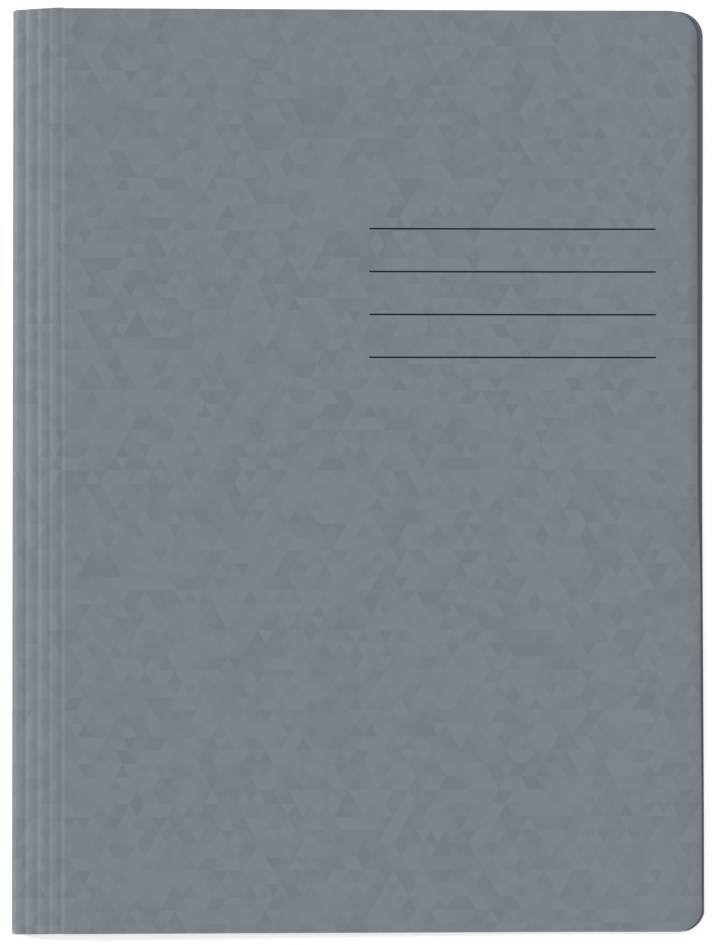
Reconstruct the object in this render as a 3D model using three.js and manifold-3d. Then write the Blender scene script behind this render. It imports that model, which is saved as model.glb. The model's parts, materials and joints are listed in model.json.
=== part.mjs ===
// An A4 fastener folder: one sheet of pressboard, scored and folded, and a two-tongue metal
// fastener in its filing pleat. Lengths are in millimetres. The folder lies closed on its back
// cover: +X points to the fore edge, +Y to the head and +Z up. The origin is on the table,
// under the middle of the back cover.
import * as THREE from 'three';
import { mergeVertices } from 'three/addons/utils/BufferGeometryUtils.js';
import Module from 'manifold-3d';

const wasm = await Module();
wasm.setup();

// The sheet of card
const HEIGHT = 320; // head to foot
const BACK_WIDTH = 239.4; // left fold to the back cover's fore edge
const CARD = 0.5; // thickness of 390 g/m2 pressboard
const CORNER_RADIUS = 9; // fore-edge corners
const SETBACK_HEAD = 1.9; // front cover's fore edge to the back cover's, at the head
const SETBACK_FOOT = 0.75; // the same at the foot: the cover is folded slightly askew
const COVER_GAP = 0.3; // air between the covers at the fore edge
const CREASE_GAP = 0.22; // clear space that a crease needs beside its neighbour

// The spine, from the wall at the left edge to the last groove
const WALL_HEIGHT = 2.75; // crease to crease
const STRIP_WIDTH = 4.22; // groove to groove
const STRIP_SLOPES = [11, 9, 7, 5]; // degrees above level, closed, from the left edge inwards

// The filing pleat and the fastener in it
const PLEAT_DEPTH = 45; // left fold to the pleat's own fold
const FASTENER_LINE = 30; // left fold to the middle of the tongues
const HOLE_SPACING = 80; // the two-hole filing standard
const STEEL = 0.35; // gauge of the fastener strip and its tongues
const BASE_WIDTH = 12;
const BASE_OVERHANG = 11; // strip beyond each tongue's root
const BASE_CORNER = 3;
const TONGUE_WIDTH = 6;
const TONGUE_TIP_GAP = 4; // between the two tips, folded in
const BAR_WIDTH = 10.5;
const BAR_OVERHANG = 13; // bar beyond each tongue's root
const BAR_STEEL = 0.4;
const BAR_LIP = 1.4; // height of the turned-up edges
const BAR_TRAVEL = 6; // how far the bar rises while the tongues straighten
const SLOT_CLEARANCE = 0.35; // round a tongue in its slot
const SEAT_GAP = 0.3; // between a folded tongue and the bar under it
const HINGE_GAP = 0.2; // clear space at the root of a tongue
const ARC_STEPS = 16; // straight pieces in a corner's quarter turn

// Levels, from the table up
const PLEAT_LOW = CARD;
const BASE_LEVEL = PLEAT_LOW + CARD;
const PLEAT_HIGH = BASE_LEVEL + STEEL;
const BAR_LEVEL = PLEAT_HIGH + CARD;
const TONGUE_LEVEL = BAR_LEVEL + BAR_STEEL + SEAT_GAP + STEEL / 2;

const RIGHT_ANGLE = Math.PI / 2;
const radians = THREE.MathUtils.degToRad;

const card = new THREE.MeshStandardMaterial({ color: 0x7b8288, roughness: 0.82, metalness: 0 });
const steel = new THREE.MeshStandardMaterial({ color: 0xc6c8c9, roughness: 0.32, metalness: 1 });

const folder = new THREE.Group();
folder.position.x = -BACK_WIDTH / 2; // inside the group, x counts from the left fold

function addPiece(parent, name, geometry, material) {
  const mesh = new THREE.Mesh(geometry, material);
  mesh.name = name;
  parent.add(mesh);
  return mesh;
}

// A group whose local x runs along the next panel of the sheet, tipped up by turn radians.
function foldAt(parent, x, z, turn) {
  const group = new THREE.Group();
  group.position.set(x, 0, z);
  group.rotation.y = -turn;
  parent.add(group);
  return group;
}

// How far from its crease a plate stops, so that two plates folded by this angle stay apart.
function relief(thickness, angle, clearance) {
  return (thickness / 2) * Math.tan(Math.abs(angle) / 2) + clearance;
}

// A box given by its lowest and highest corners.
function boxBetween(low, high) {
  const size = high.map((value, axis) => value - low[axis]);
  const box = new THREE.BoxGeometry(...size);
  box.translate(...low.map((value, axis) => value + size[axis] / 2));
  return box;
}

// An outline drawn in the XZ plane, drawn out along Y over the given length about y = 0.
function drawnAlongY(outline, length) {
  const solid = new THREE.ExtrudeGeometry(outline, {
    depth: length, bevelEnabled: false, curveSegments: ARC_STEPS,
  });
  solid.rotateX(RIGHT_ANGLE);
  solid.translate(0, length / 2, 0);
  return solid;
}

// An outline drawn in the XY plane, raised along Z from the given level.
function raised(outline, level, thickness) {
  const solid = new THREE.ExtrudeGeometry(outline, {
    depth: thickness, bevelEnabled: false, curveSegments: ARC_STEPS,
  });
  solid.translate(0, 0, level);
  return solid;
}

function toManifold(geometry) {
  const plain = geometry.clone();
  plain.deleteAttribute('normal');
  plain.deleteAttribute('uv');
  const merged = mergeVertices(plain);
  return new wasm.Manifold(new wasm.Mesh({
    numProp: 3,
    vertProperties: new Float32Array(merged.attributes.position.array),
    triVerts: new Uint32Array(merged.index.array),
  }));
}

function fromManifold(solid) {
  const mesh = solid.getMesh();
  const geometry = new THREE.BufferGeometry();
  geometry.setAttribute('position', new THREE.BufferAttribute(mesh.vertProperties, 3));
  geometry.setIndex(new THREE.BufferAttribute(mesh.triVerts, 1));
  geometry.computeVertexNormals();
  return geometry;
}

function cutFrom(body, cutters) {
  const cut = (rest, cutter) => rest.subtract(toManifold(cutter));
  return fromManifold(cutters.reduce(cut, toManifold(body)));
}

function joined(pieces) {
  return fromManifold(pieces.map(toManifold).reduce((whole, piece) => whole.add(piece)));
}

// A cover seen from above: square at the spine, round at the two fore-edge corners.
function coverOutline(start, headEnd, footEnd) {
  const half = HEIGHT / 2;
  const outline = new THREE.Shape();
  outline.absarc(footEnd - CORNER_RADIUS, CORNER_RADIUS - half, CORNER_RADIUS, -RIGHT_ANGLE, 0);
  outline.absarc(headEnd - CORNER_RADIUS, half - CORNER_RADIUS, CORNER_RADIUS, 0, RIGHT_ANGLE);
  outline.lineTo(start, half);
  outline.lineTo(start, -half);
  return outline;
}

function makeBackCover() {
  addPiece(folder, 'back_cover', raised(coverOutline(0, BACK_WIDTH, BACK_WIDTH), 0, CARD), card);
}

// The openings that a tongue's root passes through, one at each hole of the standard.
function rootSlots(bottom, top, reachInwards) {
  const halfWidth = TONGUE_WIDTH / 2 + SLOT_CLEARANCE;
  const outer = HOLE_SPACING / 2 + STEEL / 2 + SLOT_CLEARANCE;
  const inner = HOLE_SPACING / 2 - reachInwards;
  return [-1, 1].map((side) => {
    const ends = [side * inner, side * outer].sort((a, b) => a - b);
    return boxBetween(
      [FASTENER_LINE - halfWidth, ends[0], bottom],
      [FASTENER_LINE + halfWidth, ends[1], top],
    );
  });
}

// Half a ring of card, which joins the pleat's two layers round the edge of the strip between them.
function pleatFoldOutline(centre) {
  const middle = BASE_LEVEL + STEEL / 2;
  const outline = new THREE.Shape();
  outline.absarc(centre, middle, CARD + STEEL / 2, -RIGHT_ANGLE, RIGHT_ANGLE);
  outline.absarc(centre, middle, STEEL / 2, RIGHT_ANGLE, -RIGHT_ANGLE, true);
  return outline;
}

// The pleat: a layer on the back cover, a round fold, and a layer on top with the tongues' slots.
function makePleat(pleat) {
  const half = HEIGHT / 2;
  const start = CARD / 2 + relief(CARD, RIGHT_ANGLE, CREASE_GAP);
  const foldStart = PLEAT_DEPTH - CARD - STEEL / 2;
  const lower = boxBetween([start, -half, PLEAT_LOW], [foldStart, half, BASE_LEVEL]);
  const upper = boxBetween([start, -half, PLEAT_HIGH], [foldStart, half, BAR_LEVEL]);
  const slots = rootSlots(PLEAT_HIGH - STEEL / 2, BAR_LEVEL + CARD, STEEL / 2 + SLOT_CLEARANCE);
  addPiece(pleat, 'pleat_lower_layer', lower, card);
  addPiece(pleat, 'pleat_fold', drawnAlongY(pleatFoldOutline(foldStart), HEIGHT), card);
  addPiece(pleat, 'pleat_upper_layer', cutFrom(upper, slots), card);
}

// A rectangle with round corners about the middle of the fastener, seen from above.
function stripOutline(halfWidth, halfLength, corner) {
  const outline = new THREE.Shape();
  const signs = [[1, 1], [-1, 1], [-1, -1], [1, -1]];
  signs.forEach(([across, along], quarter) => {
    outline.absarc(
      FASTENER_LINE + across * (halfWidth - corner), along * (halfLength - corner), corner,
      quarter * RIGHT_ANGLE, (quarter + 1) * RIGHT_ANGLE,
    );
  });
  return outline;
}

// The strip between the pleat's layers, with a root standing at each hole.
function makeFastenerBase(pleat) {
  const halfLength = HOLE_SPACING / 2 + BASE_OVERHANG;
  const strip = raised(stripOutline(BASE_WIDTH / 2, halfLength, BASE_CORNER), BASE_LEVEL, STEEL);
  const rootTop = TONGUE_LEVEL - relief(STEEL, RIGHT_ANGLE, HINGE_GAP);
  const roots = [-1, 1].map((side) => boxBetween(
    [FASTENER_LINE - TONGUE_WIDTH / 2, (side * HOLE_SPACING) / 2 - STEEL / 2, BASE_LEVEL + STEEL / 2],
    [FASTENER_LINE + TONGUE_WIDTH / 2, (side * HOLE_SPACING) / 2 + STEEL / 2, rootTop],
  ));
  addPiece(pleat, 'fastener_base', joined([strip, ...roots]), steel);
}

// A tongue in its own group, which sits at the bend: it lies along the group's -y or +y.
function makeTongue(pleat, name, side) {
  const bend = new THREE.Group();
  bend.position.set(FASTENER_LINE, (side * HOLE_SPACING) / 2, TONGUE_LEVEL);
  bend.rotation.z = side > 0 ? Math.PI : 0;
  pleat.add(bend);
  const half = TONGUE_WIDTH / 2;
  const start = relief(STEEL, RIGHT_ANGLE, HINGE_GAP);
  const end = HOLE_SPACING / 2 - TONGUE_TIP_GAP / 2;
  const outline = new THREE.Shape();
  outline.moveTo(-half, start);
  outline.lineTo(half, start);
  outline.absarc(0, end - half, half, 0, Math.PI);
  addPiece(bend, name, raised(outline, -STEEL / 2, STEEL), steel);
}

// A shallow channel: flat on the pleat, its long edges turned up, with a slot for each tongue.
function makeCompressorBar(pleat) {
  const half = BAR_WIDTH / 2;
  const floor = BAR_LEVEL + BAR_STEEL;
  const top = BAR_LEVEL + BAR_LIP;
  const outline = new THREE.Shape();
  outline.moveTo(FASTENER_LINE - half, BAR_LEVEL);
  outline.lineTo(FASTENER_LINE + half, BAR_LEVEL);
  outline.lineTo(FASTENER_LINE + half, top);
  outline.lineTo(FASTENER_LINE + half - BAR_STEEL, top);
  outline.lineTo(FASTENER_LINE + half - BAR_STEEL, floor);
  outline.lineTo(FASTENER_LINE - half + BAR_STEEL, floor);
  outline.lineTo(FASTENER_LINE - half + BAR_STEEL, top);
  outline.lineTo(FASTENER_LINE - half, top);
  // a tongue that straightens over the quarter turn stays above a bar that rises with it when
  // the slot reaches in by the rise per radian, and by room for the tongue's own thickness
  const reach = BAR_TRAVEL / RIGHT_ANGLE + 2 * SLOT_CLEARANCE;
  const slots = rootSlots(BAR_LEVEL - BAR_STEEL, floor + BAR_STEEL, reach);
  const channel = drawnAlongY(outline, HOLE_SPACING + 2 * BAR_OVERHANG);
  addPiece(pleat, 'compressor_bar', cutFrom(channel, slots), steel);
}

// The spine wall, the strips and the front cover, each set at an angle to the end of the one
// before. The cover's slope brings its fore edge down to the gap over the back cover.
function makeSpineAndFrontCover(pleat) {
  const tilts = [RIGHT_ANGLE, ...STRIP_SLOPES.map(radians)];
  const lengths = [WALL_HEIGHT, ...STRIP_SLOPES.map(() => STRIP_WIDTH)];
  const apex = { x: CARD / 2, z: PLEAT_HIGH + CARD / 2 };
  lengths.forEach((length, i) => {
    apex.x += length * Math.cos(tilts[i]);
    apex.z += length * Math.sin(tilts[i]);
  });
  const restLevel = CARD + COVER_GAP + CARD / 2;
  const run = BACK_WIDTH - SETBACK_FOOT - apex.x;
  const coverTilt = -Math.atan2(apex.z - restLevel, run);
  tilts.push(coverTilt);

  let panel = foldAt(pleat, CARD / 2, PLEAT_HIGH + CARD / 2, tilts[0]);
  let lastTurn = RIGHT_ANGLE;
  lengths.forEach((length, i) => {
    const nextTurn = tilts[i + 1] - tilts[i];
    const low = relief(CARD, lastTurn, CREASE_GAP);
    const high = length - relief(CARD, nextTurn, CREASE_GAP);
    const plate = boxBetween([low, -HEIGHT / 2, -CARD / 2], [high, HEIGHT / 2, CARD / 2]);
    addPiece(panel, `spine_strip_${i + 1}`, plate, card);
    panel = foldAt(panel, length, 0, nextTurn);
    lastTurn = nextTurn;
  });

  const start = relief(CARD, lastTurn, CREASE_GAP);
  const footEnd = run / Math.cos(coverTilt);
  const headEnd = (run + SETBACK_FOOT - SETBACK_HEAD) / Math.cos(coverTilt);
  const outline = coverOutline(start, headEnd, footEnd);
  addPiece(panel, 'front_cover', raised(outline, -CARD / 2, CARD), card);
}

makeBackCover();
makePleat(folder);
makeFastenerBase(folder);
makeTongue(folder, 'tongue_head', 1);
makeTongue(folder, 'tongue_foot', -1);
makeCompressorBar(folder);
makeSpineAndFrontCover(folder);

export default folder;
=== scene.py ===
"""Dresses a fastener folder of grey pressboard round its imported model.

The folder's card is one sheet. Seen from the foot, its middle line runs from the back cover's fore
edge round the left fold, through the filing pleat, up the spine wall and over the front cover.
Each stretch of that line becomes a piece with a thickness, scored grooves and cut edges. The
fastener's strip, tongues and bar are bent from flat steel in the same way.
"""

import json
import logging
import math
from dataclasses import dataclass, field, replace
from enum import Enum, IntEnum
from typing import Callable, Optional, Sequence

import bmesh
import bpy
import numpy as np
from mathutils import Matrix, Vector

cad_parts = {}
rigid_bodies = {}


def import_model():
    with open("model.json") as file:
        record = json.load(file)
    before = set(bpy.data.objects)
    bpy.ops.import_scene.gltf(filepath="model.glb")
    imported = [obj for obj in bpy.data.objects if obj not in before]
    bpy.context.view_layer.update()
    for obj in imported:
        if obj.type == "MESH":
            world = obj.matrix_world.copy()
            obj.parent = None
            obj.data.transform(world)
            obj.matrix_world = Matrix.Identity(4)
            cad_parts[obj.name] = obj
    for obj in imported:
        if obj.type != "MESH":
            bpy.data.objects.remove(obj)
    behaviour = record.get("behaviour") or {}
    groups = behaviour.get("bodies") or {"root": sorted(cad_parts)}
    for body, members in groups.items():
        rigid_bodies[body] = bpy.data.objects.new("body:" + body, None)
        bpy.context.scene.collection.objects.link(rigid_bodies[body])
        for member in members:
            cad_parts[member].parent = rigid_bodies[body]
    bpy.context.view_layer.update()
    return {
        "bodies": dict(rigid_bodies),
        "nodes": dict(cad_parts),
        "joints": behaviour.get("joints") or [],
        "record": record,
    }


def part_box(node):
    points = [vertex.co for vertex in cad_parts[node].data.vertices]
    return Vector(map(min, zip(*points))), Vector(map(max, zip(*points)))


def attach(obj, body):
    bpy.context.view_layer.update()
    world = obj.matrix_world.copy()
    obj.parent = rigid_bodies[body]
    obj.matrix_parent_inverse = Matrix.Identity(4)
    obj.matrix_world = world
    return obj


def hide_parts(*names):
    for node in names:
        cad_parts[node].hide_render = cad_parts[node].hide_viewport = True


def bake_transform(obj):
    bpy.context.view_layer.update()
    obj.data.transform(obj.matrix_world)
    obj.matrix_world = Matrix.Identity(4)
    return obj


MM = 0.001
# Lengths and curvatures below this count as none.
NEARLY_ZERO = 1e-9
LOG = logging.getLogger("fastener_folder")


def smooth_step(value: np.ndarray) -> np.ndarray:
    """Eases from 0 to 1 as value goes from 0 to 1."""
    clipped = np.clip(value, 0.0, 1.0)
    return clipped * clipped * (3.0 - 2.0 * clipped)


def linear_colour(code: str) -> tuple[float, float, float, float]:
    """Turns an sRGB hex code such as "#7d858d" into linear red, green, blue and alpha.

    Args:
        code: the colour as # and six hex digits.

    Returns:
        The linear colour, opaque.
    """
    channels = [int(code[i:i + 2], 16) / 255.0 for i in (1, 3, 5)]
    linear = [c / 12.92 if c <= 0.04045 else ((c + 0.055) / 1.055) ** 2.4 for c in channels]
    return (*linear, 1.0)


def set_inputs(tree: bpy.types.NodeTree, node: bpy.types.Node, inputs: dict) -> None:
    """Sets and links the inputs of a shader node.

    Args:
        tree: the node's tree.
        node: the node.
        inputs: for each input, by name or number, a value or the output socket to link.
    """
    for key, value in inputs.items():
        if isinstance(value, bpy.types.NodeSocket):
            tree.links.new(value, node.inputs[key])
        else:
            node.inputs[key].default_value = value


def add_node(
    tree: bpy.types.NodeTree,
    kind: str,
    inputs: Optional[dict] = None,
    **settings: object,
) -> bpy.types.Node:
    """Adds a shader node with its settings and links.

    Args:
        tree: the node tree that the node goes into.
        kind: the node's type, such as "ShaderNodeMath".
        inputs: for each input, by name or number, a value or the output socket to link.
        settings: attributes to set on the node itself.

    Returns:
        The new node.
    """
    node = tree.nodes.new(kind)
    for name, value in settings.items():
        setattr(node, name, value)
    set_inputs(tree, node, inputs or {})
    return node


def seen_directly(tree: bpy.types.NodeTree) -> bpy.types.NodeSocket:
    """Tells the rays of the camera, of mirrors and of glass from those that only bring light.

    Args:
        tree: the node tree.

    Returns:
        The output that is 1 for rays that show the surface, and 0 for the others.
    """
    ray = add_node(tree, "ShaderNodeLightPath").outputs
    shown = ray["Is Camera Ray"]
    for kind in ("Is Glossy Ray", "Is Transmission Ray"):
        shown = add_node(tree, "ShaderNodeMath", {0: shown, 1: ray[kind]},
                         operation="MAXIMUM").outputs[0]
    return shown


# The middle line of a bent sheet


@dataclass(frozen=True)
class Corner:
    """A corner of a sheet's middle line, seen end on, in metres, and its bend radius."""

    across: float
    up: float
    radius: float = 0.0


@dataclass(frozen=True)
class Run:
    """A straight or evenly bent length of the middle line."""

    start: float
    length: float
    across: float
    up: float
    heading: float
    curvature: float


class BentLine:
    """The middle line of a bent sheet: straight runs joined by arcs.

    A place on it is the distance from its first corner, measured along the sheet. The printed
    side is on the left of someone who walks along the line.
    """

    ARC_STEPS = 8
    # Places closer together than this, in metres, become one.
    LEAST_STEP = 5e-6

    def __init__(self, corners: Sequence[Corner]) -> None:
        """Lays the runs.

        Args:
            corners: the line's corners in order, the first and last being its ends.
        """
        self.runs: list[Run] = []
        self.corner_places: list[float] = [0.0]
        points = np.array([(c.across, c.up) for c in corners])
        steps = np.diff(points, axis=0)
        lengths = np.hypot(steps[:, 0], steps[:, 1])
        headings = np.arctan2(steps[:, 1], steps[:, 0])
        turns = [0.0]
        for before, after in zip(headings[:-1], headings[1:]):
            turns.append((after - before + math.pi) % (2 * math.pi) - math.pi)
        turns.append(0.0)
        cut_back = [c.radius * abs(math.tan(t / 2)) for c, t in zip(corners, turns)]
        place = 0.0
        for i, length in enumerate(lengths):
            direction = steps[i] / length
            first = points[i] + direction * cut_back[i]
            straight = length - cut_back[i] - cut_back[i + 1]
            self.runs.append(Run(place, straight, *first, headings[i], 0.0))
            place += straight
            turn = turns[i + 1]
            arc = corners[i + 1].radius * abs(turn)
            self.corner_places.append(place + arc / 2)
            if arc > 0:
                last = first + direction * straight
                self.runs.append(Run(place, arc, *last, headings[i], turn / arc))
                place += arc
        self.length = place

    def at(self, places: np.ndarray) -> tuple[np.ndarray, np.ndarray]:
        """Finds points of the line and the directions that its printed side faces.

        Args:
            places: distances along the line.

        Returns:
            The points and the unit normals, each with a last axis of (across, up).
        """
        starts = np.array([run.start for run in self.runs])
        which = np.clip(np.searchsorted(starts, places, side="right") - 1, 0, len(starts) - 1)
        table = np.array([
            (run.start, run.across, run.up, run.heading, run.curvature) for run in self.runs
        ])[which]
        start, across, up, heading, bend = np.moveaxis(table, -1, 0)
        along = places - start
        now = heading + bend * along
        straight = np.abs(bend) < NEARLY_ZERO
        safe = np.where(straight, 1.0, bend)
        step_across = np.where(
            straight, along * np.cos(heading), (np.sin(now) - np.sin(heading)) / safe)
        step_up = np.where(
            straight, along * np.sin(heading), (np.cos(heading) - np.cos(now)) / safe)
        points = np.stack([across + step_across, up + step_up], axis=-1)
        normals = np.stack([-np.sin(now), np.cos(now)], axis=-1)
        return points, normals

    def place_of(self, corner: int) -> float:
        """Gives the place in the middle of a corner's bend."""
        return self.corner_places[corner]

    def stations(
        self, start: float, end: float, step: float, marks: Sequence[float] = ()
    ) -> np.ndarray:
        """Chooses the places where a stretch of the sheet gets a line of points.

        Args:
            start: where the stretch starts.
            end: where it ends.
            step: the widest spacing on straight runs.
            marks: places that must be among them.

        Returns:
            The places, in order, both ends included.
        """
        places = [start, end, *marks]
        for run in self.runs:
            count = self.ARC_STEPS if run.curvature else max(1, math.ceil(run.length / step))
            places.extend(run.start + run.length * i / count for i in range(count + 1))
        inside = sorted(p for p in places if start <= p <= end)
        kept = [inside[0]]
        for place in inside[1:]:
            if place - kept[-1] > self.LEAST_STEP:
                kept.append(place)
        kept[-1] = end
        return np.array(kept)


# Sheets with thickness


class Face(IntEnum):
    """The faces of a sheet, which are also its material slots."""

    PRINTED = 0
    PLAIN = 1
    CUT = 2


class Plane(Enum):
    """Which way a sheet's middle line lies: over X with its width on Y, or the other way."""

    LINE_OVER_X = "x"
    LINE_OVER_Y = "y"


@dataclass(frozen=True)
class Window:
    """A hole through a sheet, by its ends along the line and across it."""

    start: float
    end: float
    low: float
    high: float


@dataclass(frozen=True)
class Cut:
    """How a piece is cut from the sheet.

    The ends are either cut edges or seams, where the next piece of the same sheet carries on.
    A round corner's centre lies at its radius from both edges. Where low_corner_slip is set, the
    centres on the low side lie that much nearer to the edges, so the arc meets them at an angle.
    """

    start: float
    end: float
    low: float
    high: float
    start_is_cut: bool = False
    end_is_cut: bool = False
    start_corner: float = 0.0
    end_corner: float = 0.0
    low_corner_slip: float = 0.0
    windows: tuple[Window, ...] = ()
    marks: tuple[float, ...] = ()


Warp = Callable[[np.ndarray, np.ndarray], tuple[np.ndarray, np.ndarray, np.ndarray]]
Wear = Callable[[np.ndarray, np.ndarray], np.ndarray]


def unchanged(along: np.ndarray, across: np.ndarray) -> tuple[np.ndarray, np.ndarray, np.ndarray]:
    """Leaves a sheet as its line and outline give it."""
    return along, across, np.zeros_like(along)


def unworn(along: np.ndarray, across: np.ndarray) -> np.ndarray:
    """Marks no wear anywhere."""
    return np.zeros_like(along)


@dataclass
class BentSheet:
    """A sheet of card or steel that follows a bent line."""

    line: BentLine
    thickness: float
    warp: Warp = unchanged
    wear: Wear = unworn
    plane: Plane = Plane.LINE_OVER_X
    middle: float = 0.0
    edge_round: float = 0.06 * MM
    row_step: float = 8 * MM
    line_step: float = 6 * MM
    edge_rows: tuple[float, ...] = ()
    corner_steps: int = 12
    lift: float = 0.0

    # A round corner takes the place of points that lie closer to it than this, in metres.
    CORNER_GAP = 1e-5
    # A window's edge takes the place of rows that lie within this share of a row step.
    NEAREST_ROW = 1 / 8
    # Faces that meet at more than this many degrees keep a sharp edge.
    SHARP_ANGLE = 50.0

    def make(
        self, name: str, cut: Cut, materials: Sequence[bpy.types.Material]
    ) -> bpy.types.Object:
        """Makes a closed mesh of a piece of the sheet.

        Args:
            name: the piece's name.
            cut: how the piece is cut from the sheet.
            materials: the finishes of the printed, plain and cut faces.

        Returns:
            The piece, at rest in the row frame.
        """
        places = self._station_list(cut)
        rows = self._row_list(cut)
        shares = (rows - cut.low) / (cut.high - cut.low)
        low = cut.low + self._corner_inset(places, cut, cut.low_corner_slip)
        high = cut.high - self._corner_inset(places, cut, 0.0)
        along = np.repeat(places[:, None], len(shares), axis=1)
        across = low[:, None] + shares[None, :] * (high - low)[:, None]

        count_i, count_j = along.shape
        loop = self._boundary(count_i, count_j)
        is_cut = self._cut_segments(loop, count_i, cut)
        outline = np.array([(along[i, j], across[i, j]) for i, j in loop])
        normals = self._outline_normals(outline, is_cut)
        inner = outline - normals * self.edge_round
        for (i, j), (s, y) in zip(loop, inner):
            along[i, j], across[i, j] = s, y

        half = self.thickness / 2
        flat = np.stack([along.ravel(), across.ravel()], axis=-1)
        sides = [(flat, half), (flat, -half), (outline, half - self.edge_round),
                 (outline, self.edge_round - half)]
        sheet_uv = np.concatenate([points for points, _ in sides])
        offsets = np.concatenate([np.full(len(points), offset) for points, offset in sides])
        vertices = self._placed(sheet_uv[:, 0], sheet_uv[:, 1], offsets)
        faces, kinds = self._faces(count_i, count_j, loop, is_cut, places, rows, cut)
        return self._object(name, vertices, faces, kinds, sheet_uv, materials)

    def _station_list(self, cut: Cut) -> np.ndarray:
        """Chooses the places along the line, with the round corners and windows among them.

        Args:
            cut: the piece's cut.

        Returns:
            The places, in order.
        """
        turn = np.linspace(0.0, math.pi / 2, self.corner_steps + 1)
        marks = list(cut.marks)
        for window in cut.windows:
            marks += [window.start, window.end]
        places = self.line.stations(cut.start, cut.end, self.line_step, marks)
        if cut.end_corner:
            rounded = cut.end - cut.end_corner * (1 - np.sin(turn))
            places = np.concatenate([places[places < rounded[0] - self.CORNER_GAP], rounded])
        if cut.start_corner:
            rounded = cut.start + cut.start_corner * (1 - np.cos(turn))
            places = np.concatenate([rounded, places[places > rounded[-1] + self.CORNER_GAP]])
        return places

    @staticmethod
    def _corner_inset(places: np.ndarray, cut: Cut, slip: float) -> np.ndarray:
        """Gives how far the round corners draw an edge in.

        Args:
            places: places along the line.
            cut: the piece's cut.
            slip: how much nearer than its radius each corner's centre lies to the edges.

        Returns:
            The inset at each place.
        """
        inset = np.zeros_like(places)
        for radius, from_end in (
            (cut.end_corner, cut.end - places), (cut.start_corner, places - cut.start)
        ):
            if radius:
                centre = radius - slip
                into = np.clip(centre - from_end, 0.0, centre)
                inset += np.maximum(centre - np.sqrt(radius * radius - into * into), 0.0)
        return inset

    def _row_list(self, cut: Cut) -> np.ndarray:
        """Chooses the places across the sheet, with the windows' edges among them.

        Args:
            cut: the piece's cut.

        Returns:
            The places, in order from the low side.
        """
        count = max(2, math.ceil((cut.high - cut.low) / self.row_step))
        rows = list(np.linspace(cut.low, cut.high, count + 1))
        rows += [cut.low + step for step in self.edge_rows]
        rows += [cut.high - step for step in self.edge_rows]
        gap = self.row_step * self.NEAREST_ROW
        for window in cut.windows:
            for edge in (window.low, window.high):
                rows = [row for row in rows if abs(row - edge) > gap]
                rows.append(edge)
        return np.array(sorted(rows))

    @staticmethod
    def _boundary(count_i: int, count_j: int) -> list[tuple[int, int]]:
        """Lists the grid's outer points in order, once round.

        Args:
            count_i: how many points the grid has along the line.
            count_j: how many it has across.

        Returns:
            The points by their numbers along and across.
        """
        loop = [(i, 0) for i in range(count_i)]
        loop += [(count_i - 1, j) for j in range(1, count_j)]
        loop += [(i, count_j - 1) for i in range(count_i - 2, -1, -1)]
        loop += [(0, j) for j in range(count_j - 2, 0, -1)]
        return loop

    @staticmethod
    def _cut_segments(loop: list[tuple[int, int]], count_i: int, cut: Cut) -> list[bool]:
        """Says of each segment of the outline whether it is a cut edge or a seam.

        Args:
            loop: the outline's points.
            count_i: how many points the grid has along the line.
            cut: the piece's cut.

        Returns:
            For the segment that starts at each point, True where it is cut.
        """
        answers = []
        for here, there in zip(loop, loop[1:] + loop[:1]):
            at_start = here[0] == there[0] == 0
            at_end = here[0] == there[0] == count_i - 1
            answers.append(not (at_start and not cut.start_is_cut or at_end and not cut.end_is_cut))
        return answers

    @staticmethod
    def _outline_normals(outline: np.ndarray, is_cut: list[bool]) -> np.ndarray:
        """Gives the outward direction at each point of the outline.

        Args:
            outline: the points along and across, in order.
            is_cut: for the segment that starts at each point, whether it is cut.

        Returns:
            The unit normals, or zero inside a seam.
        """
        steps = np.roll(outline, -1, axis=0) - outline
        lengths = np.maximum(np.hypot(steps[:, 0], steps[:, 1]), NEARLY_ZERO)[:, None]
        facing = np.stack([steps[:, 1], -steps[:, 0]], axis=-1) / lengths
        facing *= np.array(is_cut, float)[:, None]
        total = facing + np.roll(facing, 1, axis=0)
        size = np.hypot(total[:, 0], total[:, 1])[:, None]
        return np.where(size > NEARLY_ZERO, total / np.maximum(size, NEARLY_ZERO), 0.0)

    def _placed(self, along: np.ndarray, across: np.ndarray, offsets: np.ndarray) -> np.ndarray:
        """Bends flat points into place.

        Args:
            along: the points' places along the line.
            across: their places across.
            offsets: how far each lies from the sheet's middle, on the printed side.

        Returns:
            The points in space.
        """
        moved_along, moved_across, lift = self.warp(along, across)
        points, normals = self.line.at(moved_along)
        bent = points + normals * (offsets + lift + self.lift)[:, None]
        if self.plane is Plane.LINE_OVER_X:
            return np.stack([bent[:, 0], moved_across + self.middle, bent[:, 1]], axis=-1)
        return np.stack([moved_across + self.middle, bent[:, 0], bent[:, 1]], axis=-1)

    def _faces(
        self,
        count_i: int,
        count_j: int,
        loop: list[tuple[int, int]],
        is_cut: list[bool],
        places: np.ndarray,
        rows: np.ndarray,
        cut: Cut,
    ) -> tuple[list[tuple[int, ...]], list[int]]:
        """Lists the faces and the finish of each.

        Args:
            count_i: how many points the grid has along the line.
            count_j: how many it has across.
            loop: the outline's points, by their numbers along and across.
            is_cut: for the segment that starts at each of them, whether it is cut.
            places: the grid's places along the line.
            rows: its places across.
            cut: the piece's cut.

        Returns:
            The faces as rings of point numbers, and the Face of each as a number.
        """
        plain_start = count_i * count_j
        ring_top = 2 * plain_start
        ring_bottom = ring_top + len(loop)
        faces: list[tuple[int, ...]] = []
        kinds: list[int] = []

        def add(kind: Face, *corners: int) -> None:
            """Adds one face."""
            faces.append(corners)
            kinds.append(int(kind))

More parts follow.
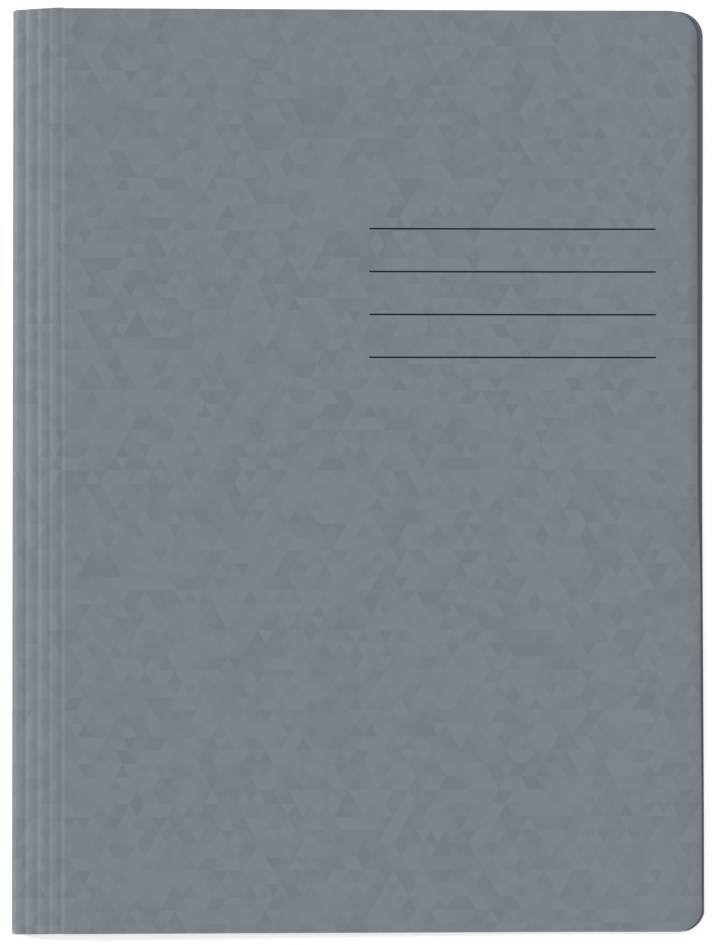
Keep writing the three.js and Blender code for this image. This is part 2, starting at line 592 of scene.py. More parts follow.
        def open_cell(i: int, j: int) -> bool:
            """Finds out whether a window leaves out a cell of the grid.

            Args:
                i: the cell's number along the line.
                j: its number across.

            Returns:
                True for a cell that is left out.
            """
            if not (0 <= i < count_i - 1 and 0 <= j < count_j - 1):
                return False
            s = (places[i] + places[i + 1]) / 2
            y = (rows[j] + rows[j + 1]) / 2
            return any(w.start < s < w.end and w.low < y < w.high for w in cut.windows)

        for i in range(count_i - 1):
            for j in range(count_j - 1):
                a, b = i * count_j + j, (i + 1) * count_j + j
                quad = (a, b, b + 1, a + 1)
                if not open_cell(i, j):
                    add(Face.PRINTED, *quad)
                    add(Face.PLAIN, *(plain_start + q for q in reversed(quad)))
                    continue
                walls = ((i, j - 1, a, b), (i + 1, j, b, b + 1),
                         (i, j + 1, b + 1, a + 1), (i - 1, j, a + 1, a))
                for next_i, next_j, p, q in walls:
                    if not open_cell(next_i, next_j):
                        add(Face.CUT, p, q, plain_start + q, plain_start + p)

        total = len(loop)
        for k in range(total):
            n = (k + 1) % total
            top = [loop[m][0] * count_j + loop[m][1] for m in (k, n)]
            if is_cut[k]:
                add(Face.PRINTED, top[0], ring_top + k, ring_top + n, top[1])
                add(Face.CUT, ring_top + k, ring_bottom + k, ring_bottom + n, ring_top + n)
                add(Face.PLAIN, ring_bottom + k, plain_start + top[0],
                    plain_start + top[1], ring_bottom + n)
                continue
            add(Face.PLAIN, top[0], plain_start + top[0], plain_start + top[1], top[1])
            for m, corner in ((k, top[0]), (n, top[1])):
                if is_cut[m - 1] != is_cut[m]:
                    add(Face.PLAIN, corner, ring_top + m, ring_bottom + m, plain_start + corner)
        return faces, kinds

    def _object(
        self,
        name: str,
        vertices: np.ndarray,
        faces: list[tuple[int, ...]],
        kinds: list[int],
        sheet_uv: np.ndarray,
        materials: Sequence[bpy.types.Material],
    ) -> bpy.types.Object:
        """Turns the lists into an object with finishes, flat coordinates and wear.

        Args:
            name: the piece's name.
            vertices: the points in space.
            faces: the faces as rings of point numbers.
            kinds: the Face of each as a number.
            sheet_uv: the points' places along and across the flat sheet.
            materials: the finishes of the printed, plain and cut faces.

        Returns:
            The piece.
        """
        used = sorted({v for face in faces for v in face})
        renumber = {old: new for new, old in enumerate(used)}
        mesh = bpy.data.meshes.new(name)
        mesh.from_pydata(vertices[used].tolist(), [],
                         [tuple(renumber[v] for v in face) for face in faces])
        for material in materials:
            mesh.materials.append(material)
        mesh.polygons.foreach_set("material_index", kinds)
        flat = sheet_uv[used]
        layer = mesh.uv_layers.new(name="flat_sheet")
        corners = np.zeros(len(mesh.loops), np.int32)
        mesh.loops.foreach_get("vertex_index", corners)
        layer.data.foreach_set("uv", flat[corners].astype(np.float32).ravel())
        worn = mesh.attributes.new("wear", "FLOAT", "POINT")
        worn.data.foreach_set("value", self.wear(flat[:, 0], flat[:, 1]).astype(np.float32))
        shape = bmesh.new()
        shape.from_mesh(mesh)
        bmesh.ops.recalc_face_normals(shape, faces=shape.faces[:])
        shape.to_mesh(mesh)
        shape.free()
        mesh.shade_smooth()
        mesh.set_sharp_from_angle(angle=math.radians(self.SHARP_ANGLE))
        piece = bpy.data.objects.new(name, mesh)
        bpy.context.scene.collection.objects.link(piece)
        return piece


# Finishes


class SheetCoat:
    """A new material for a sheet, with its node tree and the sheet's flat coordinates."""

    def __init__(self, name: str) -> None:
        """Starts the material.

        Args:
            name: the material's name.
        """
        self.material = bpy.data.materials.new(name)
        self.material.use_nodes = True
        self.tree = self.material.node_tree
        self.flat = add_node(self.tree, "ShaderNodeUVMap", uv_map="flat_sheet").outputs["UV"]

    def finished(self, inputs: dict) -> bpy.types.Material:
        """Sets the shader's inputs.

        Args:
            inputs: for each of the shader's inputs, a value or the output socket to link.

        Returns:
            The material.
        """
        set_inputs(self.tree, self.tree.nodes["Principled BSDF"], inputs)
        return self.material


@dataclass(frozen=True)
class PrintedPressboard:
    """Dyed pressboard, printed tone on tone with a mosaic of small triangles and matt varnished.

    It looks like dull grey-blue card. The triangles lie in level rows, most of them a shade
    apart, and run together into cloudy patches.
    """

    base: str = "#7c848a"
    shade: str = "#727a80"
    raw: str = "#a5a39d"
    roughness: float = 0.5
    ior: float = 1.46
    gloss: float = 0.3
    triangle_width: float = 5.2 * MM
    triangle_height: float = 4.6 * MM
    small_seed: float = 3.0
    large_seed: float = 11.0
    large_scale: float = 2.0
    cloud_size: float = 26 * MM
    small_share: float = 0.55
    large_share: float = 0.25
    cloud_share: float = 0.34
    tone_range: tuple[float, float] = (0.4, 1.0)
    # Pulp fibres are about 0.03 mm wide. They are drawn this much coarser, so that they show.
    fibre_size: float = 0.35 * MM
    fibre_height: float = 0.03 * MM
    fibre_strength: float = 0.12
    fibre_in_wear: float = 0.6
    wear_range: tuple[float, float] = (0.5, 0.95)

    def material(self) -> bpy.types.Material:
        """Builds the material.

        Returns:
            The printed card's material, which reads the flat coordinates and the wear.
        """
        coat = SheetCoat("printed_pressboard")
        tree = coat.tree
        small = self._mosaic(tree, coat.flat, 1.0, self.small_seed)
        large = self._mosaic(tree, coat.flat, self.large_scale, self.large_seed)
        cloud = add_node(tree, "ShaderNodeTexNoise", {
            "Vector": coat.flat, "Scale": 1 / self.cloud_size, "Detail": 2.0}).outputs["Fac"]
        tone = add_node(tree, "ShaderNodeMath", {0: small, 1: self.small_share},
                        operation="MULTIPLY")
        for pattern, share in ((large, self.large_share), (cloud, self.cloud_share)):
            tone = add_node(tree, "ShaderNodeMath", {0: pattern, 1: share, 2: tone.outputs[0]},
                            operation="MULTIPLY_ADD")
        ramp = add_node(tree, "ShaderNodeMapRange", {
            "Value": tone.outputs[0], "From Min": self.tone_range[0],
            "From Max": self.tone_range[1]}, clamp=True)
        printed = add_node(tree, "ShaderNodeMix", {
            "Factor": ramp.outputs[0], "A": linear_colour(self.base),
            "B": linear_colour(self.shade)}, data_type="RGBA")
        fibre = add_node(tree, "ShaderNodeTexNoise", {
            "Vector": coat.flat, "Scale": 1 / self.fibre_size, "Detail": 3.0}).outputs["Fac"]
        colour = add_node(tree, "ShaderNodeMix", {
            "Factor": self._worn_factor(tree, fibre), "A": printed.outputs["Result"],
            "B": linear_colour(self.raw)}, data_type="RGBA")
        bump = add_node(tree, "ShaderNodeBump", {
            "Height": fibre, "Strength": self.fibre_strength, "Distance": self.fibre_height})
        return coat.finished({
            "Base Color": colour.outputs["Result"], "Normal": bump.outputs["Normal"],
            "Roughness": self.roughness, "IOR": self.ior, "Specular IOR Level": self.gloss})

    def _mosaic(
        self, tree: bpy.types.NodeTree, flat: bpy.types.NodeSocket, scale: float, seed: float
    ) -> bpy.types.NodeSocket:
        """Gives each triangle of a mosaic a value of its own.

        Args:
            tree: the node tree.
            flat: the flat coordinates, in metres.
            scale: the triangles' size, as a multiple of the smallest.
            seed: which of the random layouts to use.

        Returns:
            The output that holds the value, from 0 to 1.
        """
        split = add_node(tree, "ShaderNodeSeparateXYZ", {0: flat}).outputs
        level = add_node(tree, "ShaderNodeMath", {
            0: split["Y"], 1: self.triangle_height * scale}, operation="DIVIDE").outputs[0]
        row = add_node(tree, "ShaderNodeMath", {0: level}, operation="FLOOR").outputs[0]
        rise = add_node(tree, "ShaderNodeMath", {0: level, 1: row}, operation="SUBTRACT").outputs[0]
        across = add_node(tree, "ShaderNodeMath", {
            0: split["X"], 1: self.triangle_width * scale}, operation="DIVIDE").outputs[0]
        # Every second row is shifted by half a triangle. The slant makes the cells leaning
        # diamonds, and each diamond's short diagonal parts it into two triangles.
        odd = add_node(tree, "ShaderNodeMath", {
            0: row, 1: 2.0}, operation="FLOORED_MODULO").outputs[0]
        shifted = add_node(tree, "ShaderNodeMath", {
            0: odd, 1: 0.5, 2: across}, operation="MULTIPLY_ADD").outputs[0]
        slanted = add_node(tree, "ShaderNodeMath", {
            0: rise, 1: -0.5, 2: shifted}, operation="MULTIPLY_ADD").outputs[0]
        column = add_node(tree, "ShaderNodeMath", {0: slanted}, operation="FLOOR").outputs[0]
        inside = add_node(tree, "ShaderNodeMath", {
            0: slanted, 1: column}, operation="SUBTRACT").outputs[0]
        diagonal = add_node(tree, "ShaderNodeMath", {
            0: inside, 1: rise}, operation="ADD").outputs[0]
        points_down = add_node(tree, "ShaderNodeMath", {
            0: diagonal, 1: 1.0}, operation="GREATER_THAN").outputs[0]
        which = add_node(tree, "ShaderNodeMath", {
            0: points_down, 1: seed}, operation="ADD").outputs[0]
        cell = add_node(tree, "ShaderNodeCombineXYZ", {"X": column, "Y": row, "Z": which})
        return add_node(tree, "ShaderNodeTexWhiteNoise", {"Vector": cell.outputs[0]},
                        noise_dimensions="3D").outputs["Value"]

    def _worn_factor(
        self, tree: bpy.types.NodeTree, fibre: bpy.types.NodeSocket
    ) -> bpy.types.NodeSocket:
        """Breaks the stored wear up with the fibres.

        Args:
            tree: the node tree.
            fibre: the fibres' noise.

        Returns:
            The output that holds how much of the raw card shows.
        """
        wear = add_node(tree, "ShaderNodeAttribute", attribute_name="wear").outputs["Fac"]
        mixed = add_node(tree, "ShaderNodeMath", {0: fibre, 1: self.fibre_in_wear, 2: wear},
                         operation="MULTIPLY_ADD")
        return add_node(tree, "ShaderNodeMapRange", {
            "Value": mixed.outputs[0], "From Min": self.wear_range[0],
            "From Max": self.wear_range[1]}, clamp=True).outputs[0]


@dataclass(frozen=True)
class PlainPressboard:
    """The sheet's unprinted inner side: darker than the printed side, with short fibres and faint
    specks. Part of that darkness is painted shade, for the strip of back cover that shows in shadow
    past the front cover's fore edge.
    """

    # Set darker than the printed side's colours, partly as painted shade for the shadowed strip
    # past the front cover's fore edge.
    base: str = "#70777d"
    shade: str = "#666d73"
    fleck: str = "#85867f"
    roughness: float = 0.78
    ior: float = 1.46
    gloss: float = 0.3
    mottle_size: float = 6 * MM
    # Bundles of pulp fibres, drawn wider than the 0.1 mm that they measure, so that they show.
    fibre_width: float = 0.5 * MM
    fibre_slimness: float = 0.3
    fibre_height: float = 0.03 * MM
    fibre_strength: float = 0.2
    fleck_range: tuple[float, float] = (0.66, 0.74)

    def material(self) -> bpy.types.Material:
        """Builds the material of the inner side.

        Returns:
            The material.
        """
        coat = SheetCoat("plain_pressboard")
        tree = coat.tree
        mottle = add_node(tree, "ShaderNodeTexNoise", {
            "Vector": coat.flat, "Scale": 1 / self.mottle_size, "Detail": 4.0}).outputs["Fac"]
        card = add_node(tree, "ShaderNodeMix", {
            "Factor": mottle, "A": linear_colour(self.base),
            "B": linear_colour(self.shade)}, data_type="RGBA")
        grain = add_node(tree, "ShaderNodeMapping", {"Vector": coat.flat, "Scale": (
            1 / self.fibre_width, self.fibre_slimness / self.fibre_width, 1.0)})
        fibre = add_node(tree, "ShaderNodeTexNoise", {
            "Vector": grain.outputs[0], "Scale": 1.0, "Detail": 3.0}).outputs["Fac"]
        specks = add_node(tree, "ShaderNodeMapRange", {
            "Value": fibre, "From Min": self.fleck_range[0],
            "From Max": self.fleck_range[1]}, clamp=True)
        colour = add_node(tree, "ShaderNodeMix", {
            "Factor": specks.outputs[0], "A": card.outputs["Result"],
            "B": linear_colour(self.fleck)}, data_type="RGBA")
        bump = add_node(tree, "ShaderNodeBump", {
            "Height": fibre, "Strength": self.fibre_strength, "Distance": self.fibre_height})
        return coat.finished({
            "Base Color": colour.outputs["Result"], "Normal": bump.outputs["Normal"],
            "Roughness": self.roughness, "IOR": self.ior, "Specular IOR Level": self.gloss})


@dataclass(frozen=True)
class CutPressboard:
    """The die-cut edge of pressboard, where the layers of pulp show as fine, duller lines."""

    base: str = "#70777d"
    layer: str = "#8b8a82"
    roughness: float = 0.88
    ior: float = 1.46
    gloss: float = 0.2
    tear_size: float = 0.8 * MM
    tear_height: float = 0.05 * MM
    tear_strength: float = 0.4
    layer_range: tuple[float, float] = (0.5, 0.72)

    def material(self) -> bpy.types.Material:
        """Builds the material of the cut edge.

        Returns:
            The material.
        """
        coat = SheetCoat("cut_pressboard")
        tree = coat.tree
        torn = add_node(tree, "ShaderNodeTexNoise", {
            "Vector": coat.flat, "Scale": 1 / self.tear_size, "Detail": 4.0}).outputs["Fac"]
        pale = add_node(tree, "ShaderNodeMapRange", {
            "Value": torn, "From Min": self.layer_range[0],
            "From Max": self.layer_range[1]}, clamp=True)
        colour = add_node(tree, "ShaderNodeMix", {
            "Factor": pale.outputs[0], "A": linear_colour(self.base),
            "B": linear_colour(self.layer)}, data_type="RGBA")
        bump = add_node(tree, "ShaderNodeBump", {
            "Height": torn, "Strength": self.tear_strength, "Distance": self.tear_height})
        return coat.finished({
            "Base Color": colour.outputs["Result"], "Normal": bump.outputs["Normal"],
            "Roughness": self.roughness, "IOR": self.ior, "Specular IOR Level": self.gloss})


@dataclass(frozen=True)
class PrintingInk:
    """Black offset ink in a thin ruled line: nearly black, with card showing through in places."""

    base: str = "#0c0f12"
    thin: str = "#1b2024"
    roughness: float = 0.6
    ior: float = 1.46
    gloss: float = 0.08
    grain: float = 0.5 * MM

    def material(self) -> bpy.types.Material:
        """Builds the material of the ruled lines.

        Returns:
            The material.
        """
        coat = SheetCoat("printing_ink")
        spread = add_node(coat.tree, "ShaderNodeTexNoise", {
            "Vector": coat.flat, "Scale": 1 / self.grain, "Detail": 2.0}).outputs["Fac"]
        colour = add_node(coat.tree, "ShaderNodeMix", {
            "Factor": spread, "A": linear_colour(self.base),
            "B": linear_colour(self.thin)}, data_type="RGBA")
        return coat.finished({
            "Base Color": colour.outputs["Result"], "Roughness": self.roughness,
            "IOR": self.ior, "Specular IOR Level": self.gloss})


@dataclass(frozen=True)
class NickelPlatedSteel:
    """Cold-rolled strip, stamped and nickel plated: bright, with fine lines along the rolling."""

    base: str = "#cfcfcc"
    roughness: float = 0.27
    smoother: float = 0.06
    rougher: float = 0.1
    # Rolling lines are about 0.02 mm apart. They are drawn wider, so that they show.
    line_spacing: float = 0.12 * MM
    line_length: float = 14 * MM
    line_height: float = 0.01 * MM
    line_strength: float = 0.15

    def material(self) -> bpy.types.Material:
        """Builds the material of the fastener.

        Returns:
            The material.
        """
        coat = SheetCoat("nickel_plated_steel")
        tree = coat.tree
        stretched = add_node(tree, "ShaderNodeMapping", {
            "Vector": coat.flat, "Scale": (1 / self.line_length, 1 / self.line_spacing, 1.0)})
        lines = add_node(tree, "ShaderNodeTexNoise", {
            "Vector": stretched.outputs[0], "Scale": 1.0, "Detail": 2.0}).outputs["Fac"]
        roughness = add_node(tree, "ShaderNodeMapRange", {
            "Value": lines, "To Min": self.roughness - self.smoother,
            "To Max": self.roughness + self.rougher})
        bump = add_node(tree, "ShaderNodeBump", {
            "Height": lines, "Strength": self.line_strength, "Distance": self.line_height})
        return coat.finished({
            "Base Color": linear_colour(self.base), "Metallic": 1.0,
            "Normal": bump.outputs["Normal"], "Roughness": roughness.outputs[0]})


@dataclass(frozen=True)
class PaleFloor:
    """A matt white studio floor, which the camera and mirrors see as white with its shadows."""

    base: str = "#f3f3f3"
    glow: float = 0.44

    def material(self) -> bpy.types.Material:
        """Builds the floor's material.

        Returns:
            The material.
        """
        material = bpy.data.materials.new("pale_floor")
        material.use_nodes = True
        tree = material.node_tree
        tree.nodes.remove(tree.nodes["Principled BSDF"])
        strength = add_node(tree, "ShaderNodeMath", {0: seen_directly(tree), 1: self.glow},
                            operation="MULTIPLY")
        glow = add_node(tree, "ShaderNodeEmission", {"Strength": strength.outputs[0]})
        matt = add_node(tree, "ShaderNodeBsdfDiffuse", {"Color": linear_colour(self.base)})
        both = add_node(tree, "ShaderNodeAddShader", {0: matt.outputs[0], 1: glow.outputs[0]})
        set_inputs(tree, tree.nodes["Material Output"], {"Surface": both.outputs[0]})
        return material


@dataclass
class Finishes:
    """The folder's finishes, each made once."""

    card: tuple[bpy.types.Material, ...] = field(init=False)
    ink: bpy.types.Material = field(init=False)
    steel: bpy.types.Material = field(init=False)

    def __post_init__(self) -> None:
        """Makes the materials."""
        self.card = (
            PrintedPressboard().material(),
            PlainPressboard().material(),
            CutPressboard().material(),
        )
        self.ink = PrintingInk().material()
        self.steel = NickelPlatedSteel().material()


# The folder


@dataclass
class FolderLayout:
    """Where the folder's creases and pieces are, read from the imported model, in metres."""

    frame: dict
    strip_slopes: tuple[float, ...] = (11.0, 9.0, 7.0, 5.0)
    strip_width: float = 4.22 * MM
    slot_half_width: float = 3.35 * MM

    def joint(self, name: str) -> Vector:
        """Gives a point on a joint's axis."""
        found = next(j for j in self.frame["joints"] if j["name"] == name)
        return Vector(found["pos_m"])

    @property
    def back(self) -> tuple[Vector, Vector]:
        """The back cover's box."""
        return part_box("back_cover")

    def middle_up(self, node: str) -> float:
        """Gives the height of the middle of a level piece."""
        low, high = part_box(node)
        return (low.z + high.z) / 2

    def tongue_slots(self, middle: float, inside: float, outside: float) -> tuple[Window, ...]:
        """Places a slot at the root of each tongue.

        Args:
            middle: the place over the roots, along the line of the sheet with the slots.
            inside: how far a slot runs from its root towards the other one.
            outside: how far it runs away from it.

        Returns:
            The slots, the one nearer the foot first.
        """
        root = self.joint("tongue_head_bend").y
        slots = []
        for side in (-1, 1):
            low, high = sorted((side * (root - inside), side * (root + outside)))
            slots.append(Window(
                middle - self.slot_half_width, middle + self.slot_half_width, low, high))
        return tuple(slots)


class Crease(IntEnum):
    """Creases of the card sheet, by their corner on its middle line from the back cover on."""

    FOLD_LOW = 1
    FOLD_HIGH = 2
    WALL_FOOT = 5
    LEFT_EDGE = 6
    FIRST_GROOVE = 8
    LAST_GROOVE = 11


@dataclass(frozen=True)
class Change:
    """A smooth change of a size: how much, where it starts and over what length."""

    amount: float
    start: float
    length: float

    def at(self, place: np.ndarray) -> np.ndarray:
        """Gives how much of the change is made at a place."""
        return self.amount * smooth_step((place - self.start) / self.length)


@dataclass(frozen=True)
class RubbedSpot:
    """A rubbed spot, partly a painted glint on the fore edge: its reach along and across the sheet,
    and the wear.
    """

    along: float
    across: float
    wear: float

    def at(self, along: np.ndarray, across: np.ndarray) -> np.ndarray:
        """Gives the wear at distances from the spot's middle."""
        away = np.hypot(along / self.along, across / self.across)
        return self.wear * np.exp(-away * away)


@dataclass
class CardSheet:
    """The folder's one sheet of pressboard, from the back cover round to the front cover."""

    layout: FolderLayout
    thickness: float = 0.48 * MM

    # The bends of the middle line
    tight_fold: float = 0.25 * MM
    wall_foot_fold: float = 0.5 * MM
    left_edge_bend: float = 0.6 * MM
    shoulder_bend: float = 2.0 * MM
    shoulder_width: float = 1.35 * MM
    shoulder_slope: float = 36.0
    groove_bend: float = 12 * MM
    flex: float = 0.95 * MM
    seam_past_fold: float = 2 * MM

    # The scores, which run a little askew and get shallower towards the head
    groove_depths: tuple[float, ...] = (0.27 * MM, 0.26 * MM, 0.22 * MM, 0.26 * MM)
    groove_shift: float = 0.28 * MM
    groove_drift: Change = Change(0.3 * MM, 60 * MM, -75 * MM)
    groove_ease: Change = Change(0.2, 60 * MM, 60 * MM)
    groove_left: float = 1.1 * MM
    groove_right: float = 0.85 * MM
    last_groove_steepness: float = 0.75

    # The outline, and how far the covers lie askew
    corner_radius: float = 9 * MM
    foot_corner_slip: float = 0.33 * MM
    height_margin: float = 0.065 * MM
    climb: float = 0.6 * MM
    head_drop: float = 0.22 * MM
    foot_drop: float = 0.07 * MM
    drop_length: float = 1.5 * MM
    foot_setback: float = 0.26 * MM
    setback_changes: tuple[Change, ...] = (
        Change(0.28 * MM, -115 * MM, 50 * MM), Change(0.76 * MM, -45 * MM, 45 * MM))
    setback_start: float = 20 * MM

    # The front cover's swell and curl at its fore edge, and its slight waves
    edge_swell: Change = Change(0.9 * MM, -60 * MM, 60 * MM)
    edge_curl: float = 0.75 * MM
    edge_curl_width: float = 3.5 * MM
    foot_curl_share: float = 0.4
    head_curl_share: Change = Change(0.6, -70 * MM, 190 * MM)
    ripple: Change = Change(0.03 * MM, 4 * MM, 30 * MM)
    wave_along: float = 21 * MM
    wave_across: float = 34 * MM
    wave_phases: tuple[float, float] = (0.7, 0.4)

    # The wear, and a pale spot on the fore edge that is partly a painted glint
    foot_corner_wear: RubbedSpot = RubbedSpot(1.4 * MM, 2.0 * MM, 0.8)
    head_corner_wear: RubbedSpot = RubbedSpot(1.8 * MM, 1.0 * MM, 0.5)
    foot_edge_wear: RubbedSpot = RubbedSpot(math.inf, 0.6 * MM, 0.3)
    # A pale spot in the raw card's colour on the fore edge: a small nick, partly a painted glint
    # where the edge catches the light.
    fore_edge_nick_glint: RubbedSpot = RubbedSpot(0.7 * MM, 2.4 * MM, 0.5)
    nick_up: float = 93.7 * MM

    edge_rows: tuple[float, ...] = (0.3 * MM, 0.7 * MM, 1.2 * MM, 2.0 * MM, 3.5 * MM)
    line: BentLine = field(init=False)

    def __post_init__(self) -> None:
        """Lays the sheet's middle line through the creases."""
        layout = self.layout
        back_low, back_high = layout.back
        wall = layout.joint("cover_open")
        card = back_high.z - back_low.z
        back, lower, upper = (layout.middle_up(node) for node in (
            "back_cover", "pleat_lower_layer", "pleat_upper_layer"))
        turn_radius = (upper - lower) / 2
        turn_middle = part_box("pleat_fold")[1].x - card / 2
        first_rise = self.shoulder_width * math.tan(math.radians(layout.strip_slopes[0]))
        shoulder_rise = self.shoulder_width * math.tan(math.radians(self.shoulder_slope))
        shoulder_up = wall.z + first_rise
        corners = [
            Corner(back_high.x, back),
            Corner(wall.x, back, self.tight_fold),
            Corner(wall.x, lower, self.tight_fold),
            Corner(turn_middle, lower, turn_radius),
            Corner(turn_middle, upper, turn_radius),
            Corner(wall.x, upper, self.wall_foot_fold),
            Corner(wall.x, shoulder_up - shoulder_rise, self.left_edge_bend),
            Corner(wall.x + self.shoulder_width, shoulder_up, self.shoulder_bend),
        ]
        across, up = wall.x, wall.z
        for slope in layout.strip_slopes:
            across += layout.strip_width * math.cos(math.radians(slope))
            up += layout.strip_width * math.sin(math.radians(slope))
            corners.append(Corner(across, up, self.groove_bend))
        cover_low, cover_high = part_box("front_cover")
        corners.append(Corner(cover_high.x, cover_low.z + card / 2))
        self.line = BentLine(corners)

    @property
    def half_height(self) -> float:
        """Half of the sheet's height, short enough for its skew to stay in the folder's height."""
        return self.layout.back[1].y - self.climb / 2 - self.height_margin

    @property
    def pleat_seam(self) -> float:
        """The place where the back cover's piece hands over to the pleat's."""
        return self.line.place_of(Crease.FOLD_HIGH) + self.seam_past_fold

    @property
    def wall_seam(self) -> float:
        """The place where the pleat's piece hands over to the spine's."""
        return (self.line.place_of(Crease.WALL_FOOT) + self.line.place_of(Crease.LEFT_EDGE)) / 2

    @property
    def cover_seam(self) -> float:
        """The place where the spine's piece hands over to the front cover's."""
        return self.line.place_of(Crease.LAST_GROOVE) - self.layout.strip_width / 2

    def stretch(self, start: float, end: float, **edges: object) -> Cut:
        """Gives the cut of a stretch of the sheet over its whole height."""
        return Cut(start, end, -self.half_height, self.half_height, **edges)

    def warp(
        self, along: np.ndarray, across: np.ndarray
    ) -> tuple[np.ndarray, np.ndarray, np.ndarray]:
        """Moves points of the flat sheet to show its scores, its skew and its curl.

        Args:
            along: places along the line.
            across: places from the middle towards the head.

        Returns:
            The moved places along and across, and how far the sheet rises off its line.
        """
        lift = self._fore_edge_rise(along, across) - self._score_depth(along, across)
        return along - self._setback(along, across), across + self._skew(along, across), lift

    def _score_depth(self, along: np.ndarray, across: np.ndarray) -> np.ndarray:
        """Gives how deep the scores press the sheet.

        Args:
            along: places along the line.
            across: places from the middle towards the head.

        Returns:
            The depth at each point.
        """
        total = np.zeros_like(along)
        for groove, depth in enumerate(self.groove_depths, Crease.FIRST_GROOVE):
            middle = self.line.place_of(groove) + self.groove_shift + self.groove_drift.at(across)
            away = along - middle
            away = away / np.where(away < 0, self.groove_left, self.groove_right)
            share = np.exp(-away * away)
            if groove == Crease.LAST_GROOVE:
                straight = np.clip(1 - self.last_groove_steepness * away, 0, 1)
                share = np.where(away > 0, straight, share)
            total += depth * share
        return total * (1 - self.groove_ease.at(across))

    def _setback(self, along: np.ndarray, across: np.ndarray) -> np.ndarray:
        """Gives how far the front cover is drawn in towards the spine.

        Args:
            along: places along the line.
            across: places from the middle towards the head.

        Returns:
            The setback at each point, which is whole at the fore edge.
        """
        start = self.line.place_of(Crease.LAST_GROOVE) + self.setback_start
        share = np.clip((along - start) / (self.line.length - start), 0, 1)
        return share * (
            self.foot_setback + sum(change.at(across) for change in self.setback_changes))

    def _skew(self, along: np.ndarray, across: np.ndarray) -> np.ndarray:
        """Gives how far the sheet is shifted towards the head.

        Args:
            along: places along the line.
            across: places from the middle towards the head.

        Returns:
            The shift at each point: it climbs over the spine and drops past the last groove.
        """
        left = self.line.place_of(Crease.LEFT_EDGE)
        last = self.line.place_of(Crease.LAST_GROOVE)
        rise = self.climb * np.clip((along - left) / (last - left), 0, 1)
        share_up = (across / self.half_height + 1) / 2
        drop = self.foot_drop + (self.head_drop - self.foot_drop) * share_up
        return rise - self.climb / 2 - drop * smooth_step((along - last) / self.drop_length)

    def _fore_edge_rise(self, along: np.ndarray, across: np.ndarray) -> np.ndarray:
        """Gives how far the front cover rises off its line.

        Args:
            along: places along the line.
            across: places from the middle towards the head.

        Returns:
            The rise at each point, from the swell and curl at the fore edge and the waves.
        """
        to_edge = along - self.line.length
        near_edge = np.clip(to_edge / self.edge_curl_width + 1, 0, None)
        curl = self.edge_curl * (self.foot_curl_share + self.head_curl_share.at(across))
        phase_along, phase_across = self.wave_phases
        waves = (np.sin(along / self.wave_along + phase_along)
                 * np.cos(across / self.wave_across + phase_across))
        past_groove = along - self.line.place_of(Crease.LAST_GROOVE)
        return (self.edge_swell.at(to_edge) - curl * near_edge ** 2
                + self.ripple.at(past_groove) * waves)

    def wear(self, along: np.ndarray, across: np.ndarray) -> np.ndarray:
        """Marks where handling has rubbed the print, at the spine's corners and the outer edges,
        and a painted glint on the fore edge.

        Args:
            along: places along the line.
            across: places from the middle towards the head.

        Returns:
            The wear, with the painted glint, at each point, from 0 to 1.
        """
        from_left = along - self.line.place_of(Crease.LEFT_EDGE)
        from_foot, from_head = across + self.half_height, across - self.half_height
        return np.clip(
            self.foot_corner_wear.at(from_left, from_foot)
            + self.head_corner_wear.at(from_left, from_head)
            + self.foot_edge_wear.at(from_left, from_foot)
            + self.fore_edge_nick_glint.at(along - self.line.length, across - self.nick_up), 0, 1)


@dataclass
class CardPiece:
    """A piece cut from the card sheet, over the sheet's whole height."""

    sheet: CardSheet
    finishes: Finishes

    def cut_out(self, name: str, cut: Cut, warp: Warp, **fineness: object) -> bpy.types.Object:
        """Makes the piece in the card's finishes.

        Args:
            name: the piece's name.
            cut: how it is cut from the sheet.
            warp: what moves its points.
            fineness: the steps and the rounding of its BentSheet.

        Returns:
            The piece.
        """
        card = BentSheet(
            self.sheet.line, self.sheet.thickness, warp, self.sheet.wear, **fineness)
        piece = card.make(name, cut, self.finishes.card)
        return piece


@dataclass
class BackCover(CardPiece):
    """The back cover and the left fold, made at rest; in the folder, the fold opens as the pleat
    lifts.
    """

    edge_hollow: float = 0.4 * MM
    hollow_width: float = 60 * MM
    hollow_share: float = 0.85
    edge_rise: float = 0.15 * MM
    fold_reach: float = 0.01 * MM

    def build(self) -> bpy.types.Object:
        """Makes the piece in its rest place.

        Returns:
            The piece.
        """
        cut = self.sheet.stretch(
            0.0, self.sheet.pleat_seam, start_is_cut=True, start_corner=self.sheet.corner_radius,
            low_corner_slip=self.sheet.foot_corner_slip)
        piece = self.cut_out("back_cover_card", cut, self._flared)
        fold = self.sheet.layout.joint("pleat_lift")
        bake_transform(piece)
        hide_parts("back_cover")
        return piece

    def _flared(
        self, along: np.ndarray, across: np.ndarray
    ) -> tuple[np.ndarray, np.ndarray, np.ndarray]:
        """Skews the cover with the sheet, and draws its fore edge in between the ends.

        Args:
            along: places along the line, from the back cover's fore edge.
            across: places from the middle towards the head.

        Returns:
            The moved places along and across, and no rise.
        """
        near_edge = np.clip(1 - along / self.hollow_width, 0, 1)
        inner = 1 - smooth_step(np.abs(across) / (self.hollow_share * self.sheet.half_height))
        share = np.clip(along / self.sheet.line.place_of(Crease.FOLD_LOW), 0, 1)
        shift = self.edge_rise * (1 - share) - self.sheet.climb / 2 * share
        moved = along + self.edge_hollow * inner * near_edge
        return moved, across + shift, np.zeros_like(along)


